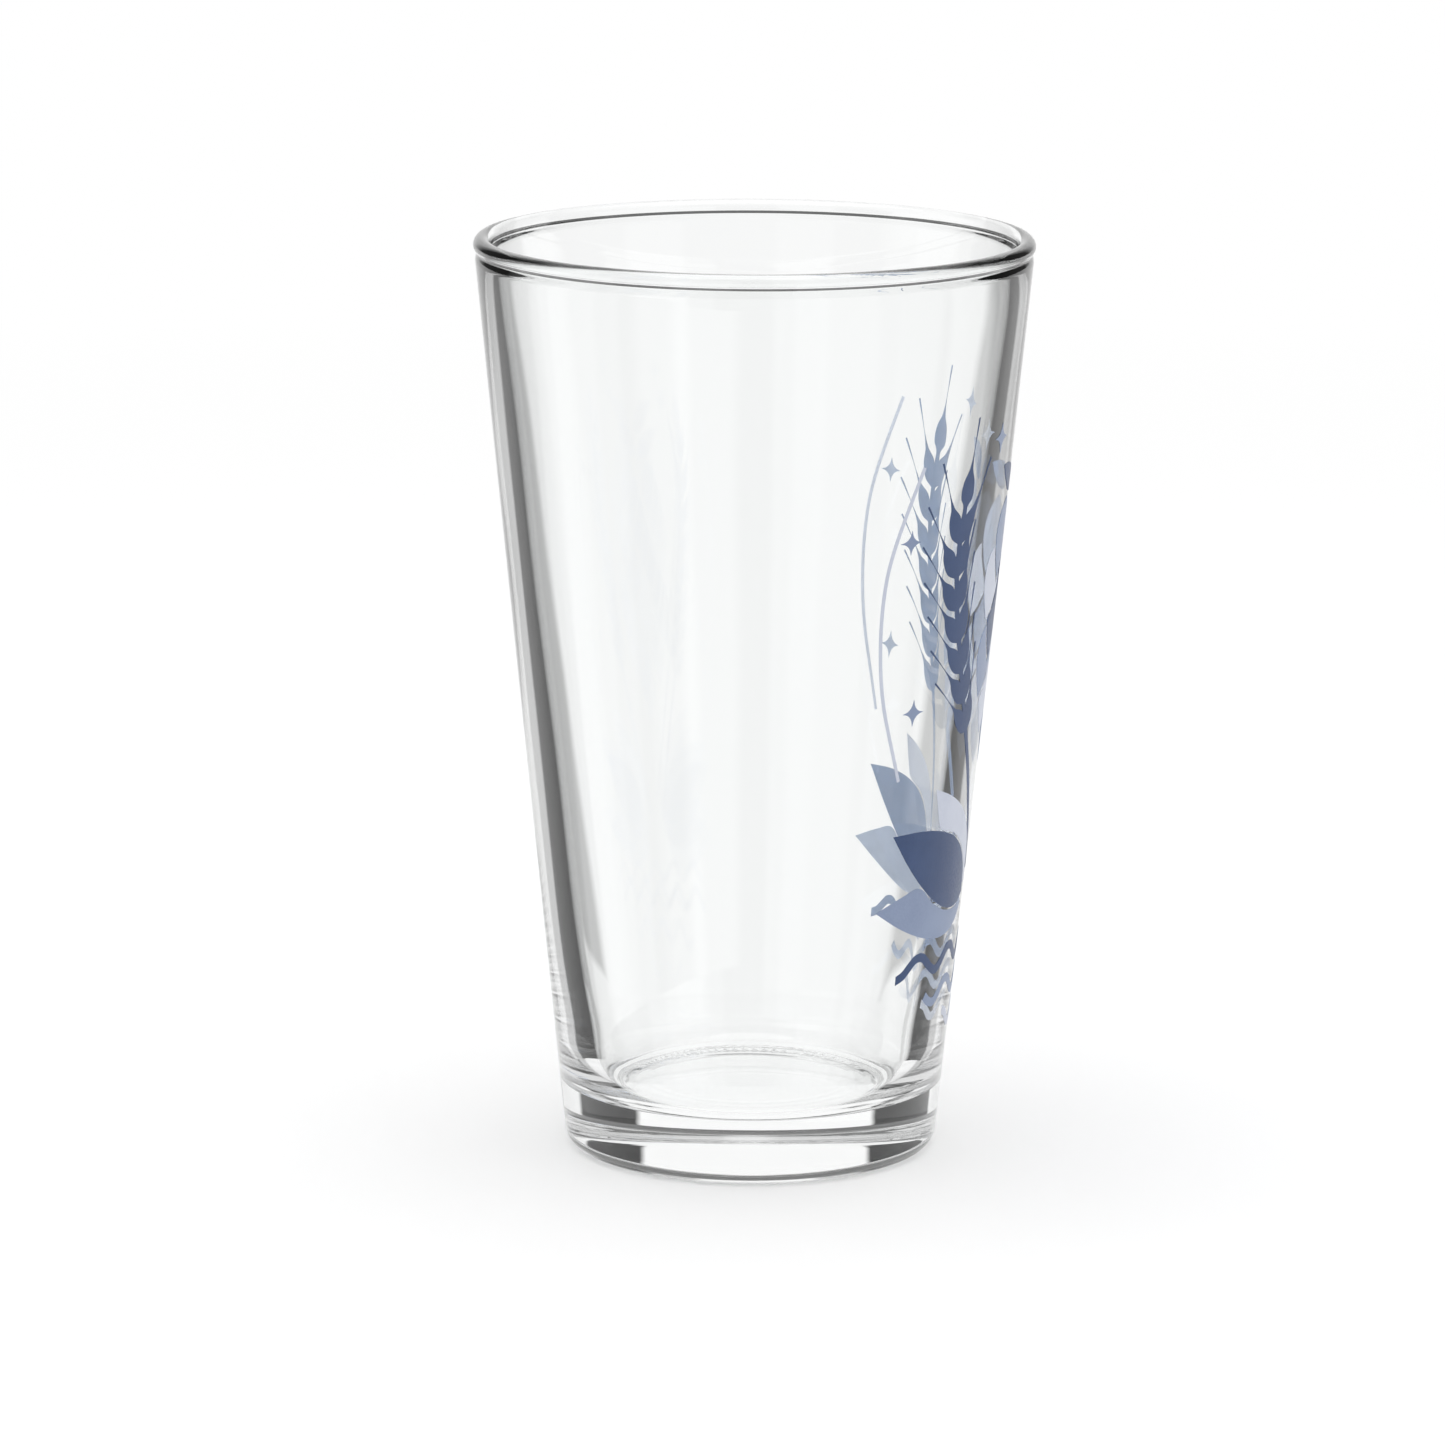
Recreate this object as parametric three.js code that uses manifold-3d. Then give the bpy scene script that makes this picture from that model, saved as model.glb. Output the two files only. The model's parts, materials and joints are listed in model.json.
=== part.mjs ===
// A US shaker pint glass: one thick pressed tumbler with a three-ink emblem fired on its wall.
// Millimetres, +Z up. The origin is the centre of the foot, on the surface that the glass stands on.
// The emblem faces +X: a hop cone hangs between two barley ears, over leaves and three waves.
import * as THREE from "three";
import { mergeVertices } from "three/addons/utils/BufferGeometryUtils.js";
import { TessellateModifier } from "three/addons/modifiers/TessellateModifier.js";
import Module from "manifold-3d";

const wasm = await Module();
wasm.setup();

// ---- Driving dimensions of the tumbler ----
const HEIGHT = 149;
const RIM_RADIUS = 44.93; // the rounded lip's widest circle
const FOOT_RADIUS = 29.98; // where the straight outer wall would meet the table
const WALL_SLOPE = 0.1008; // how much the outer radius grows for each millimetre of height
const LIP_RADIUS = 1.4; // the lip's own round section
const LIP_START = -0.27 * Math.PI; // where the groove below the lip meets its section
const GROOVE_FOOT_Z = 144.9; // where that groove has faded into the wall
const GROOVE_LEAD = 1; // how far the groove keeps to the wall's line before it turns in
const GROOVE_TIGHTNESS = 0.4; // a smaller value makes the groove's turn into the lip sharper
const HEEL_RADIUS = 3.2;
const BEARING_RING_WIDTH = 2.6; // the flat ring that the glass stands on
const PUNT_RISE = 0.6; // the hollow under the foot
const PUNT_EDGE_WIDTH = 2.2; // the steeper edge of that hollow, next to the ring
const PUNT_EDGE_RISE = 0.52;
const PUNT_EDGE_BEND = [0.9, 0.1]; // where that edge bends: in from the ring, and up
const PUNT_FLATNESS = 0.5; // how much of the hollow's radius is quite flat
const FLOOR_Z = 10; // the inside floor at its edge
const FLOOR_CROWN = 0.3;
const FLOOR_RADIUS = 21.5; // where the floor turns up into the inside corner
// How far the inside corner keeps to the wall's line (in and up) and to the floor's before it turns.
const CORNER_WALL_LEAD = [0.8, 3.2];
const CORNER_FLOOR_LEAD = 2.6;
// The wall's thickness by height, from the top of the inside corner up to the lip.
const WALL_THICKNESS = [[18, 5.7], [32, 5.1], [60, 4.6], [95, 4.1], [120, 3.6], [140, 3.05]];
const TURN_SEGMENTS = 64;

// ---- Driving dimensions of the print ----
const PRINT_CLEARANCE = 0.1; // keeps a film made of flat facets clear of a wall made of flat facets
const PRINT_THICKNESS = 0.12;
const ARTWORK_RADIUS = 37; // a width on the flat artwork is an arc of this radius
const LONGEST_PRINT_EDGE = 4.5; // short enough for the flat artwork to follow the round wall
const INK_GAP = 0.5; // bare glass between two inks

const NAVY = 0x46557a;
const SLATE = 0x8290ae;
const MIST = 0xc3c9d8;

const wallRadius = (z) => FOOT_RADIUS + WALL_SLOPE * z;
const at = (x, y) => new THREE.Vector2(x, y);

// ---- The tumbler ----

// The outside: the hollow under the foot, the bearing ring, the heel and the straight wall.
function outsideProfile() {
  const ringOuter = wallRadius(HEEL_RADIUS) - HEEL_RADIUS * Math.hypot(1, WALL_SLOPE);
  const ringInner = ringOuter - BEARING_RING_WIDTH;
  const hollowEdge = at(ringInner - PUNT_EDGE_WIDTH, PUNT_EDGE_RISE);
  const hollow = new THREE.QuadraticBezierCurve(
    at(0, PUNT_RISE), at(hollowEdge.x * PUNT_FLATNESS, PUNT_RISE), hollowEdge,
  );
  const [bendIn, bendUp] = PUNT_EDGE_BEND;
  const edge = new THREE.QuadraticBezierCurve(hollowEdge, at(ringInner - bendIn, bendUp), at(ringInner, 0));
  const heel = new THREE.EllipseCurve(
    ringOuter, HEEL_RADIUS, HEEL_RADIUS, HEEL_RADIUS, -Math.PI / 2, -Math.atan(WALL_SLOPE),
  );
  return [...hollow.getPoints(3), ...edge.getPoints(3).slice(1), ...heel.getPoints(5)];
}

// The groove below the lip and the lip's round section, from the outer wall over to the inner one.
function lipProfile() {
  const lip = new THREE.EllipseCurve(
    RIM_RADIUS - LIP_RADIUS, HEIGHT - LIP_RADIUS, LIP_RADIUS, LIP_RADIUS, LIP_START, Math.PI,
  );
  const grooveFoot = at(wallRadius(GROOVE_FOOT_Z), GROOVE_FOOT_Z);
  const lipStart = lip.getPoint(0);
  const groove = new THREE.CubicBezierCurve(
    grooveFoot,
    grooveFoot.clone().add(at(WALL_SLOPE * GROOVE_LEAD, GROOVE_LEAD)),
    lipStart.clone().sub(at(0, GROOVE_TIGHTNESS).rotateAround(at(0, 0), LIP_START)),
    lipStart,
  );
  return [...groove.getPoints(5), ...lip.getPoints(13).slice(1)];
}

// The inside: the inner wall, the rounded corner and the floor.
function insideProfile() {
  const wall = new THREE.SplineCurve([
    at(RIM_RADIUS - 2 * LIP_RADIUS, HEIGHT - LIP_RADIUS),
    ...WALL_THICKNESS.map(([z, thickness]) => at(wallRadius(z) - thickness, z)).reverse(),
  ]);
  const cornerTop = wall.getPoint(1);
  const [leadIn, leadUp] = CORNER_WALL_LEAD;
  const corner = new THREE.CubicBezierCurve(
    cornerTop,
    at(cornerTop.x - leadIn, FLOOR_Z + leadUp),
    at(FLOOR_RADIUS + CORNER_FLOOR_LEAD, FLOOR_Z),
    at(FLOOR_RADIUS, FLOOR_Z),
  );
  return [
    ...wall.getPoints(9).slice(1),
    ...corner.getPoints(7).slice(1),
    at(FLOOR_RADIUS / 2, FLOOR_Z + FLOOR_CROWN * 0.75),
    at(0, FLOOR_Z + FLOOR_CROWN),
  ];
}

function tumbler() {
  const profile = [...outsideProfile(), ...lipProfile(), ...insideProfile()];
  const turned = new THREE.LatheGeometry(profile, TURN_SEGMENTS);
  turned.rotateX(Math.PI / 2);
  const glass = new THREE.MeshStandardMaterial({
    color: 0xf2f6f5, roughness: 0.03, metalness: 0, transparent: true, opacity: 0.35,
  });
  const mesh = new THREE.Mesh(turned, glass);
  mesh.name = "glass_body";
  return mesh;
}

// ---- Flat artwork: closed films in a plane, x along the wall and y up it ----

// A film as thick as the ink, or a cutter that stands out of both faces of one.
function film(outline, { x = 0, y = 0, turn = 0, curveSegments = 6, cutter = false } = {}) {
  const depth = PRINT_THICKNESS * (cutter ? 3 : 1);
  const geometry = new THREE.ExtrudeGeometry(outline, { depth, bevelEnabled: false, curveSegments });
  geometry.rotateZ(turn);
  geometry.translate(x, y, cutter ? -PRINT_THICKNESS : 0);
  geometry.deleteAttribute("normal");
  geometry.deleteAttribute("uv");
  const merged = mergeVertices(geometry);
  return new wasm.Manifold(
    new wasm.Mesh({
      numProp: 3,
      vertProperties: merged.attributes.position.array,
      triVerts: new Uint32Array(merged.index.array),
    }),
  );
}

// A pointed leaf from its stalk end at the origin up to its tip. margin grows it all round.
function leaf(length, width, margin = 0) {
  const tip = length + margin * 2.5;
  const low = at(width * 0.66 + margin * 1.4, tip * 0.22); // the curve's handle near the stalk end
  const high = at(low.x * 0.8, tip * 0.62); // and the one near the tip
  return new THREE.Shape()
    .moveTo(0, -margin)
    .bezierCurveTo(low.x, low.y, high.x, high.y, 0, tip)
    .bezierCurveTo(-high.x, high.y, -low.x, low.y, 0, -margin);
}

// A line of even width with square ends, along a curve.
function stroke(curve, width, steps) {
  const edge = (side) =>
    curve.getSpacedPoints(steps).map((point, i) => {
      const along = curve.getTangentAt(i / steps);
      return at(point.x - along.y * side * width * 0.5, point.y + along.x * side * width * 0.5);
    });
  return new THREE.Shape([...edge(-1), ...edge(1).reverse()]);
}

// A four-pointed sparkle round the origin.
function sparkle(reach) {
  const quarter = Math.PI / 2;
  const shape = new THREE.Shape().moveTo(reach, 0);
  for (let i = 0; i < 4; i++) {
    const waist = at(reach * 0.14, 0).rotateAround(at(0, 0), (i + 0.5) * quarter);
    const point = at(reach, 0).rotateAround(at(0, 0), (i + 1) * quarter);
    shape.quadraticCurveTo(waist.x, waist.y, point.x, point.y);
  }
  return shape;
}

const mirrored = (solid) => solid.mirror([1, 0, 0]);
const larger = (a, b) => (b.volume() > a.volume() ? b : a);

// Films of leaves, listed from the front one back. Each shows only where no leaf before it lies.
function overlapping(leaves) {
  const inFront = [];
  return leaves.map(({ name, ink, length, width, place }) => {
    const whole = film(leaf(length, width), place);
    const visible = inFront.reduce((rest, cutter) => rest.subtract(cutter), whole);
    inFront.push(film(leaf(length, width, INK_GAP), { ...place, cutter: true }));
    return { name, ink, solid: visible.decompose().reduce(larger) };
  });
}

// ---- The emblem's marks, each { name, solid, ink } ----

// The right-hand ear: a stalk with grains in pairs up its end, a grain at the tip, and their awns.
const STALK = [[4, 47], [11, 62], [18.5, 79], [23.5, 97], [23, 110]];
const STALK_WIDTH = 1.1;
const AWN_WIDTHS = [0.7, 0.3]; // at its foot and at its tip
const GRAIN_PAIRS = 7;
const EAR_START = 0.4; // how far along the stalk the lowest and the highest grains grow
const EAR_END = 0.98;
const GRAIN_SPREAD = 0.42;
const GRAIN_LENGTH = 7.6;
const GRAIN_WIDTH = 3.4;
const AWN_LENGTH = 8.5;

function grain({ x, y }, turn) {
  const husk = film(leaf(GRAIN_LENGTH, GRAIN_WIDTH), { x, y, turn, curveSegments: 3 });
  const foot = GRAIN_LENGTH * 0.85;
  const tip = foot + AWN_LENGTH;
  const [wide, fine] = AWN_WIDTHS.map((width) => width / 2);
  const awn = new THREE.Shape([at(-wide, foot), at(wide, foot), at(fine, tip), at(-fine, tip)]);
  return husk.add(film(awn, { x, y, turn }));
}

function barleyEars() {
  const stalk = new THREE.SplineCurve(STALK.map(([x, y]) => at(x, y)));
  let ear = film(stroke(stalk, STALK_WIDTH, 12));
  for (let pair = 0; pair <= GRAIN_PAIRS; pair++) {
    const along = THREE.MathUtils.lerp(EAR_START, EAR_END, pair / GRAIN_PAIRS);
    const heading = stalk.getTangentAt(along).angle() - Math.PI / 2;
    const turns = pair === GRAIN_PAIRS ? [0] : [-GRAIN_SPREAD, GRAIN_SPREAD];
    for (const turn of turns) ear = ear.add(grain(stalk.getPointAt(along), heading + turn));
  }
  return [
    { name: "barley_ear_right", solid: ear, ink: NAVY },
    { name: "barley_ear_left", solid: mirrored(ear), ink: NAVY },
  ];
}

// The hop cone: two small leaves at its top, then rows of bracts that hang tip down, each row
// partly under what is above it.
const CONE_TOP_Y = 108;
const BRACT_LENGTH = 13;
const BRACT_WIDTH = 10;
const BRACT_ROW_DROP = 6.4;
const BRACT_LEAN = 0.035; // how much a bract turns outwards for each millimetre from the middle
// Each row's places from the middle. A middle bract comes first, so it lies over the two beside it.
const BRACT_ROWS = [[-4.8, 4.8], [0, -8, 8], [-4.9, 4.9], [0, -7.6, 7.6], [-4.8, 4.8], [0]];
const CONE_INKS = [SLATE, MIST, NAVY];
const CROWN_LEAF_LENGTH = 11;
const CROWN_LEAF_WIDTH = 4.6;
const CROWN_LEAF_TURN = 1.1;

function hopCone() {
  const crown = [-1, 1].map((side) => ({
    name: side < 0 ? "hop_leaf_right" : "hop_leaf_left",
    ink: NAVY,
    length: CROWN_LEAF_LENGTH,
    width: CROWN_LEAF_WIDTH,
    place: { x: -side * INK_GAP, y: CONE_TOP_Y + 1, turn: side * CROWN_LEAF_TURN },
  }));
  const bracts = BRACT_ROWS.flatMap((row, r) =>
    row.map((x, i) => ({
      name: `hop_bract_${r + 1}_${i + 1}`,
      ink: CONE_INKS[(r + (x === 0 ? 1 : 0)) % CONE_INKS.length],
      length: BRACT_LENGTH,
      width: BRACT_WIDTH,
      place: { x, y: CONE_TOP_Y - r * BRACT_ROW_DROP, turn: Math.PI + x * BRACT_LEAN },
    })),
  );
  return overlapping([...crown, ...bracts]);
}

// Two fans of leaves spread from the foot of the stalks, the middle leaf of each in front.
const FAN_CENTRE = at(2, 41);
const FAN_START = 5; // how far a leaf starts from the fan's centre
const FAN_LEAVES = [
  { part: "middle", heading: 27, length: 30, width: 12.5, ink: NAVY },
  { part: "low", heading: 6, length: 29, width: 11, ink: SLATE },
  { part: "high", heading: 46, length: 26, width: 10.5, ink: MIST },
];

function leafFans() {
  const rightFan = overlapping(
    FAN_LEAVES.map(({ part, heading, length, width, ink }) => {
      const angle = THREE.MathUtils.degToRad(heading);
      const foot = at(FAN_START, 0).rotateAround(at(0, 0), angle).add(FAN_CENTRE);
      const place = { x: foot.x, y: foot.y, turn: angle - Math.PI / 2 };
      return { name: `leaf_${part}_right`, ink, length, width, place };
    }),
  );
  const leftFan = rightFan.map(({ name, ink, solid }) => ({
    name: name.replace("right", "left"), ink, solid: mirrored(solid),
  }));
  return [...rightFan, ...leftFan];
}

// A thin bow outside each ear, and sparkles between the bow and the ear.
const BOW = [[33, 66], [37.6, 82], [37.8, 100], [32.5, 117]];
const BOW_WIDTH = 0.6;
const SPARKLES = [[33.9, 105, 2], [31, 77, 2.2], [13.5, 119, 2.4]];

function bowsAndSparkles() {
  const bow = film(stroke(new THREE.SplineCurve(BOW.map(([x, y]) => at(x, y))), BOW_WIDTH, 12));
  const marks = [
    { name: "bow_right", solid: bow, ink: MIST },
    { name: "bow_left", solid: mirrored(bow), ink: MIST },
  ];
  SPARKLES.forEach(([x, y, reach], i) => {
    const solid = film(sparkle(reach), { x, y, curveSegments: 3 });
    marks.push({ name: `sparkle_${i + 1}_right`, solid, ink: SLATE });
    marks.push({ name: `sparkle_${i + 1}_left`, solid: mirrored(solid), ink: SLATE });
  });
  return marks;
}

// Three waves below the leaves, each shorter than the one above it.
const WAVES = [
  { y: 34, reach: 30, ink: NAVY },
  { y: 28.5, reach: 21, ink: SLATE },
  { y: 23, reach: 12, ink: MIST },
];
const WAVE_LENGTH = 12;
const WAVE_HEIGHT = 1.5;
const WAVE_WIDTH = 1.5;
const STEPS_PER_WAVE = 7;

class Wave extends THREE.Curve {
  constructor(y, reach) {
    super();
    this.y = y;
    this.reach = reach;
  }
  getPoint(t, target = at(0, 0)) {
    const x = (2 * t - 1) * this.reach;
    return target.set(x, this.y + WAVE_HEIGHT * Math.cos((2 * Math.PI * x) / WAVE_LENGTH));
  }
}

function waves() {
  return WAVES.map(({ y, reach, ink }, i) => {
    const steps = Math.round((2 * reach * STEPS_PER_WAVE) / WAVE_LENGTH);
    const solid = film(stroke(new Wave(y, reach), WAVE_WIDTH, steps));
    return { name: `wave_${i + 1}`, solid, ink };
  });
}

// ---- Wrapping the flat artwork round the wall ----

function wrapped(solid) {
  const { vertProperties, triVerts } = solid.getMesh();
  const flat = new THREE.BufferGeometry();
  flat.setAttribute("position", new THREE.BufferAttribute(vertProperties, 3));
  flat.setIndex(new THREE.BufferAttribute(triVerts, 1));
  const fine = mergeVertices(new TessellateModifier(LONGEST_PRINT_EDGE, 8).modify(flat), 1e-4);
  const position = fine.attributes.position;
  for (let i = 0; i < position.count; i++) {
    const angle = position.getX(i) / ARTWORK_RADIUS;
    const z = position.getY(i);
    const radius = wallRadius(z) + PRINT_CLEARANCE + position.getZ(i);
    position.setXYZ(i, radius * Math.cos(angle), radius * Math.sin(angle), z);
  }
  return fine;
}

function printed({ name, solid, ink }) {
  const material = new THREE.MeshStandardMaterial({ color: ink, roughness: 0.4, metalness: 0 });
  const mesh = new THREE.Mesh(wrapped(solid), material);
  mesh.name = name;
  return mesh;
}

const emblem = new THREE.Group();
const marks = [...barleyEars(), ...hopCone(), ...leafFans(), ...bowsAndSparkles(), ...waves()];
emblem.add(...marks.map(printed));

const pintGlass = new THREE.Group();
pintGlass.add(tumbler(), emblem);

export default pintGlass;
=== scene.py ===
"""The looks of a printed pint glass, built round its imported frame. Metres, +Z up."""

import json
import math

import bmesh
import bpy
from mathutils import Matrix, Vector
from mathutils.geometry import tessellate_polygon


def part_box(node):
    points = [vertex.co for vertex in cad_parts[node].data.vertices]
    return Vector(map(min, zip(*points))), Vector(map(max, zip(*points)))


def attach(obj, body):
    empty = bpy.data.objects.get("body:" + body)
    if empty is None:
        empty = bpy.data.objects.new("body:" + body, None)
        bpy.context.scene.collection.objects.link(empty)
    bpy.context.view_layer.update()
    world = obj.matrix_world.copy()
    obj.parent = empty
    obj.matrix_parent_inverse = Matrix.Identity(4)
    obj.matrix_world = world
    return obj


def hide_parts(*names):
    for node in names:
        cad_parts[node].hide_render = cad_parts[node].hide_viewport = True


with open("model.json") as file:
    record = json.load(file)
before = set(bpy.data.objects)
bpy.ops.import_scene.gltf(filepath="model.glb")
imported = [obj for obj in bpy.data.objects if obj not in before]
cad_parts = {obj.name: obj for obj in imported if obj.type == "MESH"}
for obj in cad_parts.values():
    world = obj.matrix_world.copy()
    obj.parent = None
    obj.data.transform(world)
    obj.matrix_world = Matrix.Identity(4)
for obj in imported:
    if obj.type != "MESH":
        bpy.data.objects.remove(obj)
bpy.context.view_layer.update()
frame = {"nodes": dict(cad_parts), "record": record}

MM = 0.001
low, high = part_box("glass_body")

# ---- The tumbler's driving dimensions ----
HEIGHT = high.z
RIM_RADIUS = high.x
FOOT_RADIUS = 29.98 * MM  # where the straight outer wall would meet the table
WALL_SLOPE = 0.1008
LIP_RADIUS = 1.4 * MM
LIP_START = -0.27 * math.pi
GROOVE_FOOT_Z = 144.9 * MM
GROOVE_LEAD = 1 * MM  # how far the groove keeps to the wall's line before it turns in
GROOVE_TIGHTNESS = 0.4 * MM
HEEL_RADIUS = 3.2 * MM
BEARING_RING_WIDTH = 2.6 * MM
PUNT_RISE = 0.6 * MM
PUNT_EDGE_WIDTH = 2.2 * MM
PUNT_EDGE_RISE = 0.52 * MM
PUNT_EDGE_BEND = (0.9 * MM, 0.1 * MM)
PUNT_FLATNESS = 0.5
FLOOR_Z = 10 * MM
FLOOR_CROWN = 0.3 * MM
FLOOR_RADIUS = 21.5 * MM
CORNER_WALL_LEAD = (0.8 * MM, 3.2 * MM)
CORNER_FLOOR_LEAD = 2.6 * MM
WALL_THICKNESS = [(18, 5.7), (32, 5.1), (60, 4.6), (95, 4.1), (120, 3.6), (140, 3.05)]  # mm, by height
TURN_SEGMENTS = 360

# ---- The marks that pressing leaves in the glass ----
INNER_WAVE_SIZE = 0.028 * MM
INNER_WAVES = [  # each one's share of that size, its lobes round the wall, its twist up the wall, its phase
    (1.0, 2, 0, 0.7),
    (0.7, 3, -1.1, 2.1),
    (0.45, 5, 2.3, 0.4),
    (0.22, 9, -3.1, 1.9),
]
INNER_WAVE_FOOT = (FLOOR_Z + 2 * MM, 34 * MM)  # the heights between which the waves fade in, and out again
INNER_WAVE_TOP = (HEIGHT - 9 * MM, HEIGHT - 2 * MM)
FLOOR_EDGE_RISE = 1 * MM  # where the corner turns up from the floor
FLOOR_RING_SIZE = 0.022 * MM
FLOOR_RING_PITCH = 2.1 * MM
FLOOR_RINGS_START = (15 * MM, 19 * MM)  # the radii between which the rings fade in, and out again
FLOOR_RINGS_END = (22.5 * MM, 25 * MM)
NICK_DEPTH = 0.16 * MM
NICKS_ROUND = 90
NICK_PITCH = 1.1 * MM
NICK_INSIDE_FADE = 0.9 * MM
NICK_OUTSIDE_FADE = (2.2 * MM, 3.2 * MM)  # measured out from the ring's inner edge

# ---- The print's driving dimensions ----
ARTWORK_RADIUS = 37 * MM  # a width on the flat artwork is an arc of this radius
CAD_CLEARANCE = 0.1 * MM  # how far the CAD films stand off the wall
CAD_THICKNESS = 0.12 * MM
INK_INNER = 0.005 * MM  # the ink's two faces, measured out from the wall
INK_OUTER = 0.065 * MM
INK_STRIP = 0.8 * MM  # the ink bends round the wall in strips this wide
STRAIGHT_BEND = math.radians(0.3)  # an outline's points that bend less than this only divide a straight side
CORNER_BEND = math.radians(48)  # the least bend that stays a sharp corner
SAME_POINT = 0.001 * MM  # corners nearer than this are one
ON_THE_CUT = 0.0001 * MM


def wall_radius(z):
    return FOOT_RADIUS + WALL_SLOPE * z


def add_object(name, data):
    made = bpy.data.objects.new(name, data)
    bpy.context.scene.collection.objects.link(made)
    return made


def smooth(low_edge, high_edge, x):
    """0 below low_edge, 1 above high_edge, and a smooth rise between them."""
    t = min(max((x - low_edge) / (high_edge - low_edge), 0), 1)
    return t * t * (3 - 2 * t)


# ---- Curves in the (radius, height) plane ----


def bezier(points, steps):
    """Points along a Bezier curve of any order, by blending neighbouring points until one is left."""

    def at(t):
        row = [Vector(p) for p in points]
        while len(row) > 1:
            row = [a.lerp(b, t) for a, b in zip(row, row[1:])]
        return row[0]

    return [at(i / steps) for i in range(steps + 1)]


def arc(centre, radius, start, end, steps):
    turns = [start + (end - start) * i / steps for i in range(steps + 1)]
    return [Vector((centre[0] + radius * math.cos(a), centre[1] + radius * math.sin(a))) for a in turns]


def spline(points, steps):
    """A Catmull-Rom curve through the points, with this many steps between two of them."""
    p = [Vector(q) for q in points]
    ends = [p[0] * 2 - p[1]] + p + [p[-1] * 2 - p[-2]]
    made = [p[0]]
    for a, b, c, d in zip(ends, ends[1:], ends[2:], ends[3:]):
        for i in range(1, steps + 1):
            t = i / steps
            squared = (2 * a - 5 * b + 4 * c - d) * t**2
            cubed = (3 * b - a - 3 * c + d) * t**3
            made.append(0.5 * (2 * b + (c - a) * t + squared + cubed))
    return made


# ---- The tumbler ----


def outside_profile():
    """The hollow under the foot, the bearing ring, the heel and the straight wall, from the axis up."""
    ring_outer = wall_radius(HEEL_RADIUS) - HEEL_RADIUS * math.hypot(1, WALL_SLOPE)
    ring_inner = ring_outer - BEARING_RING_WIDTH
    edge = (ring_inner - PUNT_EDGE_WIDTH, PUNT_EDGE_RISE)
    hollow = bezier([(0, PUNT_RISE), (edge[0] * PUNT_FLATNESS, PUNT_RISE), edge], steps=12)
    step = bezier([edge, (ring_inner - PUNT_EDGE_BEND[0], PUNT_EDGE_BEND[1]), (ring_inner, 0)], steps=10)
    heel = arc((ring_outer, HEEL_RADIUS), HEEL_RADIUS, -math.pi / 2, -math.atan(WALL_SLOPE), steps=16)
    ring = bezier([(ring_inner, 0), (ring_outer, 0)], steps=8)
    wall = bezier([heel[-1], (wall_radius(GROOVE_FOOT_Z), GROOVE_FOOT_Z)], steps=24)
    return hollow + step[1:] + ring[1:-1] + heel + wall[1:-1]


def lip_profile():
    """The groove below the lip, and the lip's round section over to the inner wall."""
    lip = arc((RIM_RADIUS - LIP_RADIUS, HEIGHT - LIP_RADIUS), LIP_RADIUS, LIP_START, math.pi, steps=34)
    foot = Vector((wall_radius(GROOVE_FOOT_Z), GROOVE_FOOT_Z))
    into_lip = Vector((-math.sin(LIP_START), math.cos(LIP_START))) * GROOVE_TIGHTNESS
    lead = Vector((WALL_SLOPE, 1)) * GROOVE_LEAD
    return bezier([foot, foot + lead, lip[0] - into_lip, lip[0]], steps=16) + lip[1:]


def inside_profile():
    """The inner wall, the rounded corner and the floor, down to the axis."""
    wall = [(wall_radius(z * MM) - t * MM, z * MM) for z, t in reversed(WALL_THICKNESS)]
    wall = spline([(RIM_RADIUS - 2 * LIP_RADIUS, HEIGHT - LIP_RADIUS)] + wall, steps=8)
    top = wall[-1]
    leads = [
        (top.x - CORNER_WALL_LEAD[0], FLOOR_Z + CORNER_WALL_LEAD[1]),
        (FLOOR_RADIUS + CORNER_FLOOR_LEAD, FLOOR_Z),
    ]
    floor_edge = (FLOOR_RADIUS, FLOOR_Z)
    corner = bezier([top, *leads, floor_edge], steps=22)
    crown_z = FLOOR_Z + FLOOR_CROWN
    crown = bezier([floor_edge, (FLOOR_RADIUS / 2, crown_z), (0, crown_z)], steps=60)
    return wall[1:] + corner[1:] + crown[1:]


def inner_wave(angle, z):
    """How far the inner wall strays from a true cone: the slow waves that pressing and cooling leave."""
    fade = smooth(*INNER_WAVE_FOOT, z) * (1 - smooth(*INNER_WAVE_TOP, z))
    turn = z / HEIGHT * 2 * math.pi
    wave = 0
    for share, lobes, twist, phase in INNER_WAVES:
        wave += share * math.sin(lobes * angle + twist * turn + phase)
    return INNER_WAVE_SIZE * fade * wave


def floor_rings(radius):
    """How far the inside floor rises in the fine rings that the plunger leaves round its edge."""
    fade = smooth(*FLOOR_RINGS_START, radius) * (1 - smooth(*FLOOR_RINGS_END, radius))
    return FLOOR_RING_SIZE * fade * math.sin(2 * math.pi * radius / FLOOR_RING_PITCH)


def nicks(angle, radius):
    """How deep the knurled nicks are pressed up into the bearing ring."""
    inner = wall_radius(0) - HEEL_RADIUS - BEARING_RING_WIDTH
    outer_fade = [inner + reach for reach in NICK_OUTSIDE_FADE]
    fade = smooth(inner - NICK_INSIDE_FADE, inner, radius) * (1 - smooth(*outer_fade, radius))
    across = math.cos(NICKS_ROUND * angle) * math.cos(2 * math.pi * radius / NICK_PITCH)
    return NICK_DEPTH * fade * (1 - across) / 2


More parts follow.
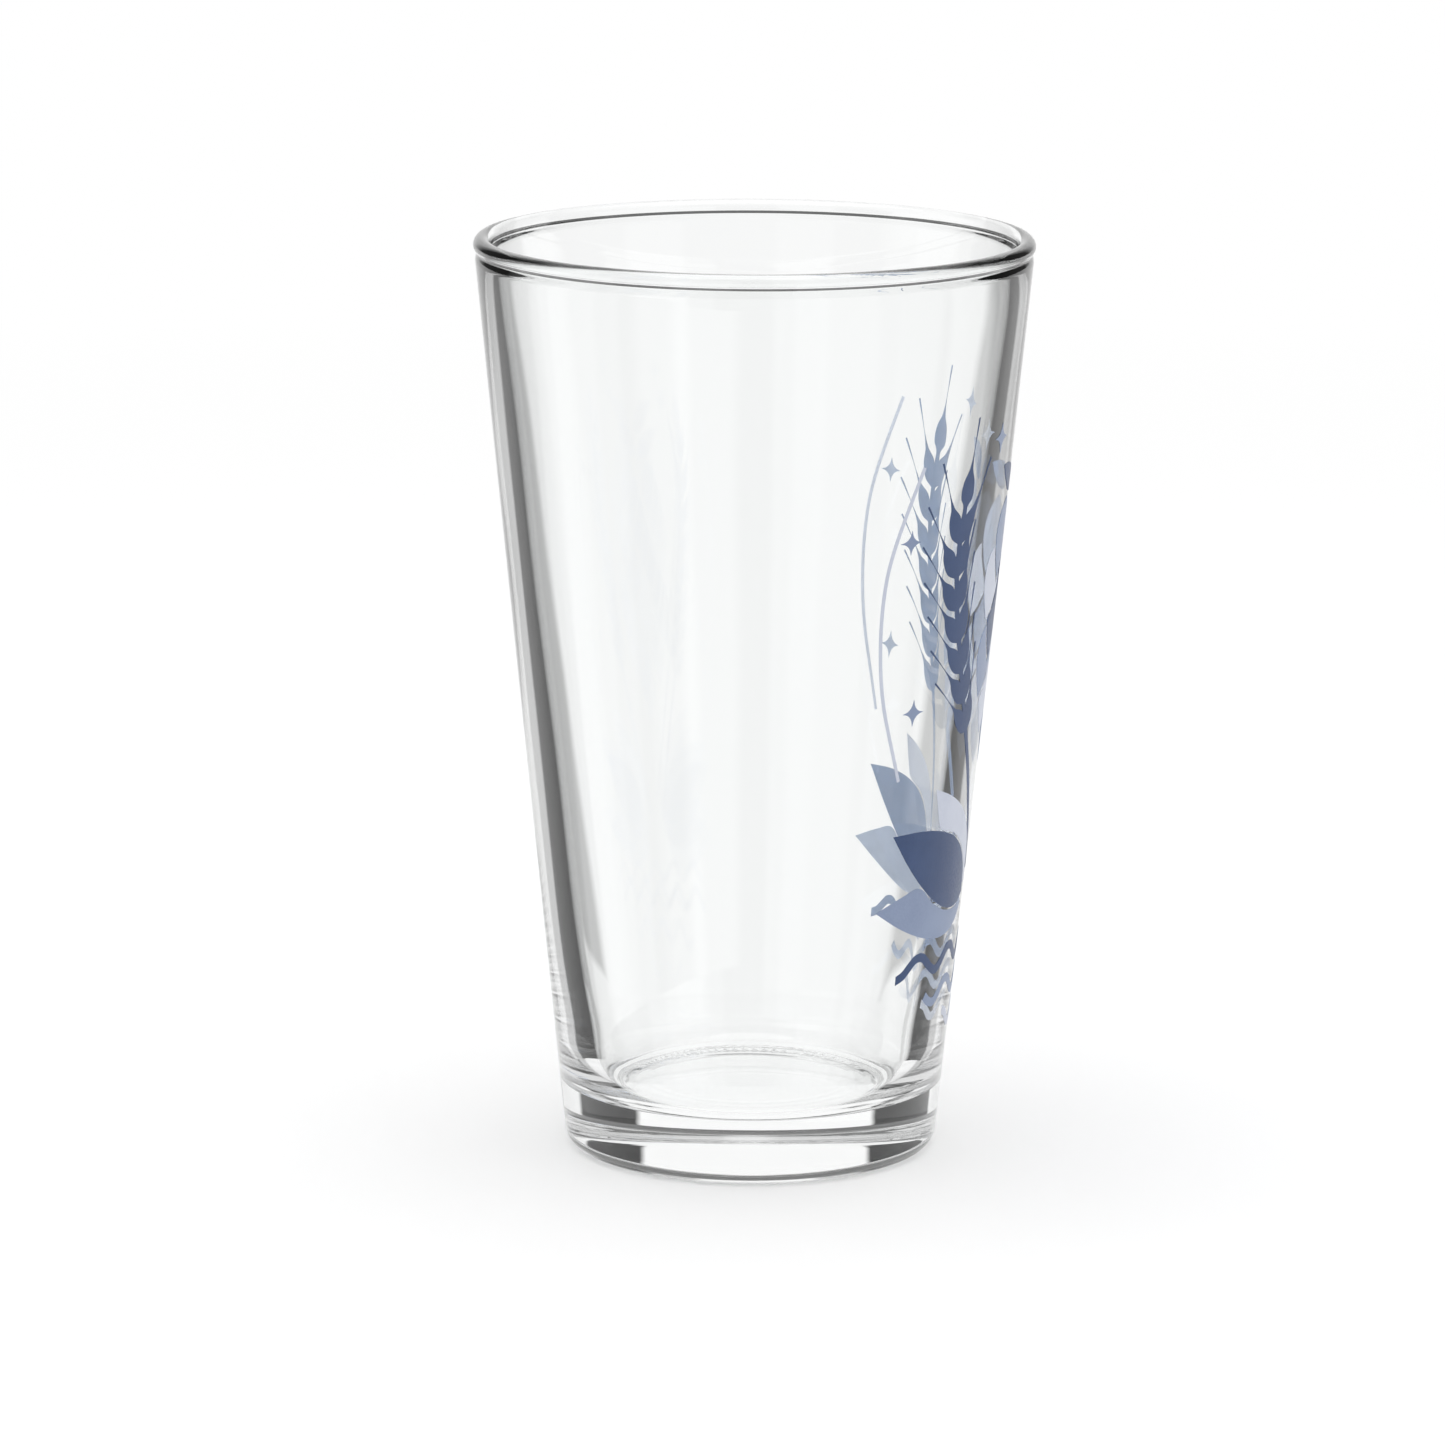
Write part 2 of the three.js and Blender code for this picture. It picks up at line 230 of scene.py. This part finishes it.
def glass_body():
    """The whole tumbler, turned from its profile, with the marks of pressing in its surface."""
    outside = outside_profile()
    lip = lip_profile()
    profile = outside + lip + inside_profile()
    inner_from = len(outside) + len(lip)
    verts = []
    rings = []
    for i, (radius, z) in enumerate(profile):
        if radius == 0:
            rings.append([len(verts)])
            verts.append((0, 0, z))
            continue
        rings.append(range(len(verts), len(verts) + TURN_SEGMENTS))
        for s in range(TURN_SEGMENTS):
            angle = 2 * math.pi * s / TURN_SEGMENTS
            r, h = radius, z
            if i >= inner_from and z > FLOOR_Z + FLOOR_EDGE_RISE:
                r += inner_wave(angle, z)
            elif i >= inner_from:
                h += floor_rings(radius)
            elif z < PUNT_RISE:
                h += nicks(angle, radius)
            verts.append((r * math.cos(angle), r * math.sin(angle), h))
    faces = []
    for a, b in zip(rings, rings[1:]):
        for s in range(TURN_SEGMENTS):
            t = (s + 1) % TURN_SEGMENTS
            if len(a) == 1:
                faces.append((a[0], b[t], b[s]))
            elif len(b) == 1:
                faces.append((a[s], a[t], b[0]))
            else:
                faces.append((a[s], a[t], b[t], b[s]))
    mesh = bpy.data.meshes.new("pint_body")
    mesh.from_pydata(verts, [], faces)
    mesh.polygons.foreach_set("use_smooth", [True] * len(mesh.polygons))
    return add_object(mesh.name, mesh)


# ---- The print ----


def artwork_point(co):
    """A point of a CAD film as (along the wall, up the wall, off the wall)."""
    radius = math.hypot(co.x, co.y)
    return Vector((math.atan2(co.y, co.x) * ARTWORK_RADIUS, co.z, radius - wall_radius(co.z)))


def outlines(node):
    """The closed outlines of a CAD film's outer face, as lists of flat artwork points."""
    film = bmesh.new()
    film.from_mesh(node.data)
    bmesh.ops.remove_doubles(film, verts=film.verts, dist=SAME_POINT)
    for v in film.verts:
        v.co = artwork_point(v.co)
    middle = CAD_CLEARANCE + CAD_THICKNESS / 2
    outer = {f for f in film.faces if all(v.co.z > middle for v in f.verts)}
    after = {}
    for f in outer:
        for corner in f.loops:
            if corner.link_loop_radial_next.face not in outer:
                after[corner.vert.index] = corner.link_loop_next.vert
    film.verts.ensure_lookup_table()
    found = []
    while after:
        start = next(iter(after))
        line = []
        v = film.verts[start]
        while v.index in after:
            line.append(v.co.to_2d())
            v = after.pop(v.index)
        found.append(line)
    film.free()
    return found


def bend(line, i):
    """The angle that a closed outline turns through at one of its points."""
    here = line[i]
    return abs((here - line[i - 1]).angle_signed(line[(i + 1) % len(line)] - here))


def rounded(line, steps=6):
    """A closed outline with its gentle bends smoothed, and its sharp corners kept."""
    line = [line[i] for i in range(len(line)) if bend(line, i) > STRAIGHT_BEND]
    n = len(line)
    sides = [(line[(i + 1) % n] - line[i]) for i in range(n)]
    slopes = []
    for i in range(n):
        before, after = sides[i - 1].normalized(), sides[i].normalized()
        slopes.append(None if bend(line, i) > CORNER_BEND else (before + after).normalized())
    made = []
    for i, side in enumerate(sides):
        a, b = line[i], line[(i + 1) % n]
        out = (slopes[i] or side.normalized()) * side.length
        into = (slopes[(i + 1) % n] or side.normalized()) * side.length
        for k in range(steps):
            t = k / steps
            made.append(
                a * (2 * t**3 - 3 * t**2 + 1) + out * (t**3 - 2 * t**2 + t)
                + b * (3 * t**2 - 2 * t**3) + into * (t**3 - t**2)
            )
    return made


def flat_film(loops):
    """The area inside the closed outlines as flat faces, in strips narrow enough to bend."""
    points = [p for loop in loops for p in loop]
    film = bmesh.new()
    verts = [film.verts.new(p) for p in points]
    for triangle in tessellate_polygon(loops):
        film.faces.new([verts[i] for i in triangle])
    left = min(p.x for p in points)
    right = max(p.x for p in points)
    for k in range(1, int((right - left) / INK_STRIP) + 1):
        everything = film.verts[:] + film.edges[:] + film.faces[:]
        at = Vector((left + k * INK_STRIP, 0, 0))
        bmesh.ops.bisect_plane(film, geom=everything, dist=ON_THE_CUT, plane_co=at, plane_no=(1, 0, 0))
    return film


def thicken(film):
    """Closes a flat film between the ink's two faces. The face against the glass gets the second material,
    the paler back with painted light.
    """
    raised = bmesh.ops.extrude_face_region(film, geom=film.faces[:])["geom"]
    for v in film.verts:
        v.co.z = INK_INNER
    for v in raised:
        if isinstance(v, bmesh.types.BMVert):
            v.co.z = INK_OUTER
    for f in film.faces:
        against_glass = all(v.co.z < (INK_INNER + INK_OUTER) / 2 for v in f.verts)
        f.material_index = int(against_glass)
    bmesh.ops.recalc_face_normals(film, faces=film.faces[:])


def wrap(film):
    """Bends a film from (along the wall, up the wall, off the wall) on to the cone."""
    for v in film.verts:
        along, z, off = v.co
        angle = along / ARTWORK_RADIUS
        radius = wall_radius(z) + off
        v.co = (radius * math.cos(angle), radius * math.sin(angle), z)


def ink_film(name, node):
    """A fine closed film of ink with the CAD mark's outline, on the round wall."""
    film = flat_film([[p.to_3d() for p in rounded(line)] for line in outlines(node)])
    thicken(film)
    wrap(film)
    mesh = bpy.data.meshes.new(name)
    film.to_mesh(mesh)
    film.free()
    return add_object(name, mesh)


# ---- Materials ----

GLASS_TINT = (0.985, 0.992, 0.99, 1)
GLASS_IOR = 1.52
HAZE_ROUGHNESS = 0.012
RING_WEAR_ROUGHNESS = 0.2
RING_WEAR_HEIGHTS = (0.4 * MM, 0.1 * MM)  # the wear starts at the first and is full at the second
INK_IOR = 1.36
INK_ROUGHNESS = (0.28, 0.46)
SPECK_SHARE = 0.4  # how much of the ink's unevenness is fine specks, and not soft clouds


class Nodes:
    """A small helper that makes and links the nodes of one material or world."""

    def __init__(self, owner):
        owner.use_nodes = True
        self.tree = owner.node_tree
        self.tree.nodes.clear()

    def add(self, kind, inputs=None, **settings):
        node = self.tree.nodes.new(kind)
        for key, value in settings.items():
            setattr(node, key, value)
        for key, value in (inputs or {}).items():
            if isinstance(value, bpy.types.NodeSocket):
                self.tree.links.new(value, node.inputs[key])
            else:
                node.inputs[key].default_value = value
        return node

    def math(self, operation, a, b=0.0):
        return self.add("ShaderNodeMath", {0: a, 1: b}, operation=operation).outputs[0]

    def vector(self, operation, a, b=(0, 0, 0), out="Vector"):
        return self.add("ShaderNodeVectorMath", {0: a, 1: b}, operation=operation).outputs[out]

    def rise(self, value, start, end, low=0.0, high=1.0):
        """Goes from low to high as the value goes from start to end, and stays there."""
        ends = {"Value": value, "From Min": start, "From Max": end, "To Min": low, "To Max": high}
        return self.add("ShaderNodeMapRange", ends).outputs[0]

    def mix(self, factor, a, b):
        """Blends two numbers."""
        return self.add("ShaderNodeMix", {0: factor, 2: a, 3: b}).outputs[0]

    def noise(self, place, scale, detail, roughness):
        settings = {"Vector": place, "Scale": scale, "Detail": detail, "Roughness": roughness}
        return self.add("ShaderNodeTexNoise", settings).outputs["Fac"]

    def bump(self, height, strength, distance):
        settings = {"Height": height, "Strength": strength, "Distance": distance}
        return self.add("ShaderNodeBump", settings).outputs[0]

    def ramp(self, value, stops):
        """Runs through the stops' colours, or their shades of grey, in the order of their places."""
        node = self.add("ShaderNodeValToRGB", {"Fac": value})
        elements = node.color_ramp.elements
        elements.remove(elements[1])
        elements[0].position = stops[0][0]
        for place, _ in stops[1:]:
            elements.new(place)
        for element, (_, colour) in zip(elements, stops):
            element.color = (*colour, 1) if hasattr(colour, "__len__") else (colour, colour, colour, 1)
        return node.outputs["Color"]


def glass_material():
    """Clear glass with a faint uneven skin, drawn out up the wall, and a bearing ring worn dull."""
    made = bpy.data.materials.new("clear_pressed_glass")
    n = Nodes(made)
    place = n.add("ShaderNodeTexCoord").outputs["Object"]
    haze = n.noise(place, scale=900, detail=3, roughness=0.6)
    height = n.add("ShaderNodeSeparateXYZ", {0: place}).outputs["Z"]
    wear = n.rise(height, *RING_WEAR_HEIGHTS, 0.0, RING_WEAR_ROUGHNESS)
    grain = n.rise(haze, 0.45, 0.75, 0.0, HAZE_ROUGHNESS)
    drawn = n.add("ShaderNodeMapping", {"Vector": place, "Scale": (1, 1, 0.35)}).outputs[0]
    skin = n.noise(drawn, scale=45, detail=2, roughness=0.4)
    settings = {
        "Base Color": GLASS_TINT,
        "Roughness": n.math("ADD", grain, wear),
        "IOR": GLASS_IOR,
        "Transmission Weight": 1.0,
        "Normal": n.bump(skin, strength=0.05, distance=0.6 * MM),
    }
    shader = n.add("ShaderNodeBsdfPrincipled", settings)
    n.add("ShaderNodeOutputMaterial", {"Surface": shader.outputs[0]})
    return made


def ink_material(name, colour, deep):
    """A fired ink: it is a little uneven in depth, with fine pinholes of thinner ink."""
    made = bpy.data.materials.new(name)
    n = Nodes(made)
    place = n.add("ShaderNodeTexCoord").outputs["Object"]
    cloud = n.noise(place, scale=140, detail=4, roughness=0.6)
    speck = n.noise(place, scale=2600, detail=2, roughness=0.7)
    blend = n.math("ADD", n.math("MULTIPLY", cloud, 1 - SPECK_SHARE), n.math("MULTIPLY", speck, SPECK_SHARE))
    settings = {
        "Base Color": n.ramp(blend, [(0.36, deep), (0.62, colour)]),
        "Roughness": n.rise(speck, 0.3, 0.7, *INK_ROUGHNESS),
        "IOR": INK_IOR,
        "Normal": n.bump(speck, strength=0.12, distance=0.05 * MM),
    }
    shader = n.add("ShaderNodeBsdfPrincipled", settings)
    n.add("ShaderNodeOutputMaterial", {"Surface": shader.outputs[0]})
    return made


# The open face of each ink, and its back against the glass. The back is a paler copy of the ink with painted
# light in its colour: it stands in for the light that comes through the thin fired ink to the glass side, and
# it lightens the marks seen through the glass. Each has its colour, and its colour where the ink lies deeper.
INKS = {
    "print_navy": (
        ink_material("navy_ink", (0.045, 0.078, 0.175), (0.034, 0.062, 0.148)),
        ink_material("navy_ink_back_painted_light", (0.30, 0.40, 0.60), (0.25, 0.34, 0.53)),
    ),
    "print_slate": (
        ink_material("slate_ink", (0.25, 0.305, 0.435), (0.215, 0.265, 0.39)),
        ink_material("slate_ink_back_painted_light", (0.54, 0.62, 0.78), (0.48, 0.56, 0.72)),
    ),
    "print_mist": (
        ink_material("mist_ink", (0.57, 0.60, 0.69), (0.51, 0.545, 0.64)),
        ink_material("mist_ink_back_painted_light", (0.74, 0.79, 0.91), (0.68, 0.73, 0.86)),
    ),
}

body = glass_body()
body.data.materials.append(glass_material())
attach(body, "root")
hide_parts("glass_body")

for part in frame["record"]["subparts"]:
    node = part["node"]
    if node == "glass_body":
        continue
    mark = ink_film(f"ink_{node}", frame["nodes"][node])
    for ink in INKS[part["material_slot"]]:
        mark.data.materials.append(ink)
    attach(mark, "root")
    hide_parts(node)


# ---- The stage ----

# The shades of the cards, and of the white paper as a light on the floor and the ink.
CARD = 0.025
GREY_CARD = 0.55
UPPER_CARD = 0.16
PAPER_LIGHT = 0.92
PAPER_LIGHT_THROUGH_GLASS = 2

# The cards beside an open gap in the paper: the shade at each angle, in degrees, from the gap's middle.
CRISP_CARDS = [(57, 1), (54, CARD), (29, CARD), (27, 1)]
SOFT_CARDS = [(56, 1), (50, CARD), (28, CARD), (25, GREY_CARD), (14.5, GREY_CARD), (12.5, 1)]
LOW_GAPS = [91.5, 180, 315]  # the bearings, in degrees, of the gaps in the lower tier
HIGH_GAPS = [45, 135, 225, 315]  # and in the upper tier

# A height in the studio is the sine of the angle above level. Of two limits, the first is for light seen
# straight through the glass, and the second for light turned back inside it.
HIGH_TIER = 0.36  # how far above or below level the upper tier of gaps starts
HIGH_TIER_BELOW = 0.48  # the same, for light turned back that leaves below level
UPPER_CARD_STARTS = (0.1, 0.56)
FLOORWARD = (0.55, 0.72)  # how far below level the cards end, and the paper is whole
TURNED_TWICE = 0.25  # the share of a gap's light that is left after two turns in the glass
TURNED_TWICE_FLOORWARD = 0.75  # the same, for the paper below
HEEL_LIGHT = 0.72  # the shade of the light that runs on round the heel, turned back five times or more

# Where a card or an opening fades in: from its first number, where there is nothing of it, to its second.
# A width is the cosine of the angle from its middle.
UNDER_BASE_WIDTH = (0.88, 0.91)
UNDER_BASE_HEIGHT = (-0.29, -0.31)
BEHIND_FOOT_WIDTH = (0.84, 0.9)
BEHIND_FOOT_HEIGHT = (0.3, 0.32)
HEEL_LIGHT_HEIGHT = (0.1, 0.15)
WINDOW_WIDTH = (0.84, 0.95)
CEILING_HEIGHT = (0.6, 0.75)
WALL_SHADE = 0.1  # of the room, as the glass reflects it beside the two windows
WINDOWS = [90, 180]

GLASS_BOUNCES = 32  # light that enters the lip is turned back many times on its way down the wall
FLOOR_SIZE = 6
FLOOR_FADE = (0.25, 0.9)  # the distances from the glass between which the floor turns into the white paper
LAMP_SIZE = 1.2
LAMP_HEIGHT = 1.2
LAMP_POWER = 5
CAMERA_PLACE = (-0.0048, -1.1847, 0.3145)
CAMERA_LENS = 186.4
CAMERA_SENSOR = 36
CAMERA_DOWN = math.radians(11.68)
CAMERA_ROLL = math.radians(0.233)


def floor():
    """A pale floor. Light that comes through the glass passes it, and sees the studio's paper."""
    bpy.ops.mesh.primitive_circle_add(vertices=128, radius=FLOOR_SIZE, fill_type="NGON")
    made = bpy.context.object
    made.name = "floor"
    material = bpy.data.materials.new("pale_floor")
    n = Nodes(material)
    place = n.add("ShaderNodeTexCoord").outputs["Object"]
    far = n.rise(n.vector("LENGTH", place, out="Value"), *FLOOR_FADE)
    pale = n.add("ShaderNodeBsdfDiffuse", {"Color": (0.9, 0.9, 0.9, 1)})
    white = n.add("ShaderNodeEmission", {"Color": (1, 1, 1, 1), "Strength": 1})
    both = n.add("ShaderNodeMixShader", {0: far, 1: pale.outputs[0], 2: white.outputs[0]})
    n.add("ShaderNodeOutputMaterial", {"Surface": both.outputs[0]})
    made.data.materials.append(material)
    made.visible_transmission = False


def studio():
    """White paper with dark cards stood beside its open gaps, as clear glass is lit to show its edges.

    The gaps are in two tiers. One is behind the glass seen level, and the other behind it seen from above.
    Light seen straight through the glass and light turned back inside it have cards and limits of their own.
    The Light Path node tells them apart. A refracted ray's glossy depth counts the times that it was turned
    back, and its transmission depth counts the surfaces that it passed through.
    """
    world = bpy.data.worlds.new("studio")
    bpy.context.scene.world = world
    n = Nodes(world)
    way = n.add("ShaderNodeTexCoord").outputs["Generated"]
    height = n.add("ShaderNodeSeparateXYZ", {0: way}).outputs["Z"]
    steepness = n.math("ABSOLUTE", height)
    level = n.vector("NORMALIZE", n.vector("MULTIPLY", way, (1, 1, 0)))

    def lightest_of(*parts):
        made = parts[0]
        for part in parts[1:]:
            made = n.math("MAXIMUM", made, part)
        return made

    def all_of(*parts):
        made = parts[0]
        for part in parts[1:]:
            made = n.math("MULTIPLY", made, part)
        return made

    def nearness(bearings):
        """The cosine of the angle from the nearest of these bearings, in degrees."""
        turns = [math.radians(b) for b in bearings]
        dots = [n.vector("DOT_PRODUCT", level, (math.cos(t), math.sin(t), 0), "Value") for t in turns]
        return lightest_of(*dots)

    def cards(near, shades):
        return n.ramp(near, sorted((math.cos(math.radians(angle)), shade) for angle, shade in shades))

    ray = n.add("ShaderNodeLightPath").outputs
    refracted = ray["Is Transmission Ray"]
    both_walls = n.math("GREATER_THAN", ray["Transmission Depth"], 3)
    turned_back = n.math("MINIMUM", ray["Glossy Depth"], 1)
    straight = n.math("SUBTRACT", 1, turned_back)
    twice = n.math("GREATER_THAN", ray["Glossy Depth"], 1.5)
    many_times = n.math("GREATER_THAN", ray["Glossy Depth"], 4.5)

    def above(value, straight_limit, turned_back_limit):
        """1 where the value is over the limit for its kind of light, and 0 elsewhere."""
        return n.math("GREATER_THAN", value, n.mix(turned_back, straight_limit, turned_back_limit))

    def gap(near):
        """An open gap, and the cards beside it. Through both walls, no card is darker than the grey one."""
        level_or_below = n.math("LESS_THAN", height, 0.02)
        in_wall = n.math("MAXIMUM", both_walls, n.math("MULTIPLY", turned_back, level_or_below))
        shade = n.mix(in_wall, cards(near, CRISP_CARDS), cards(near, SOFT_CARDS))
        return n.math("MAXIMUM", shade, n.math("MULTIPLY", both_walls, GREY_CARD))

    turned_back_tier = n.rise(height, -0.01, 0.01, HIGH_TIER_BELOW, HIGH_TIER)
    raised = above(steepness, HIGH_TIER, turned_back_tier)
    low_tier = all_of(gap(nearness(LOW_GAPS)), n.math("SUBTRACT", 1, raised))
    high_tier = all_of(gap(nearness(HIGH_GAPS)), raised)
    ahead = nearness([90])
    under_base = all_of(n.rise(ahead, *UNDER_BASE_WIDTH), n.rise(height, *UNDER_BASE_HEIGHT), straight)
    through = lightest_of(CARD, low_tier, high_tier, under_base)
    through = n.math("MULTIPLY", through, n.mix(twice, 1, TURNED_TWICE))
    through = n.mix(above(height, *UPPER_CARD_STARTS), through, UPPER_CARD)

    behind_foot = all_of(turned_back, n.rise(ahead, *BEHIND_FOOT_WIDTH), n.rise(height, *BEHIND_FOOT_HEIGHT))
    floorward = above(n.math("MULTIPLY", height, -1), *FLOORWARD)
    floorward = n.math("MULTIPLY", floorward, n.mix(twice, 1, TURNED_TWICE_FLOORWARD))
    round_the_heel = all_of(many_times, n.rise(height, *HEEL_LIGHT_HEIGHT), HEEL_LIGHT)
    through = lightest_of(through, behind_foot, floorward, round_the_heel)

    windows = n.rise(nearness(WINDOWS), *WINDOW_WIDTH, WALL_SHADE, 1)
    mirrored = n.mix(n.rise(height, *CEILING_HEIGHT), windows, 1)

    shade = n.mix(ray["Is Glossy Ray"], PAPER_LIGHT, n.mix(refracted, mirrored, through))
    lighting = n.mix(refracted, PAPER_LIGHT, PAPER_LIGHT_THROUGH_GLASS)
    shade = n.mix(n.math("MINIMUM", ray["Diffuse Depth"], 1), shade, lighting)
    shade = n.mix(ray["Is Camera Ray"], shade, 1)
    paper = n.add("ShaderNodeBackground", {"Color": (1, 1, 1, 1), "Strength": shade})
    n.add("ShaderNodeOutputWorld", {"Surface": paper.outputs[0]})


def overhead_light():
    """A square lamp over the glass. It casts the soft shadow round the foot."""
    light = bpy.data.lights.new("overhead", "AREA")
    light.size = LAMP_SIZE
    light.energy = LAMP_POWER
    lamp = add_object(light.name, light)
    lamp.location.z = LAMP_HEIGHT
    lamp.visible_transmission = False


def camera():
    """Stands back, a little above the rim's height, and looks slightly down."""
    view = bpy.data.cameras.new("camera")
    view.lens = CAMERA_LENS
    view.sensor_width = CAMERA_SENSOR
    tilt = Matrix.Rotation(math.pi / 2 - CAMERA_DOWN, 4, "X")
    roll = Matrix.Rotation(CAMERA_ROLL, 4, "Z")
    made = add_object(view.name, view)
    made.matrix_world = Matrix.Translation(CAMERA_PLACE) @ tilt @ roll
    bpy.context.scene.camera = made


camera()
studio()
floor()
overhead_light()
bpy.context.scene.view_settings.view_transform = "Standard"
for limit in ("max_bounces", "glossy_bounces", "transmission_bounces"):
    setattr(bpy.context.scene.cycles, limit, GLASS_BOUNCES)
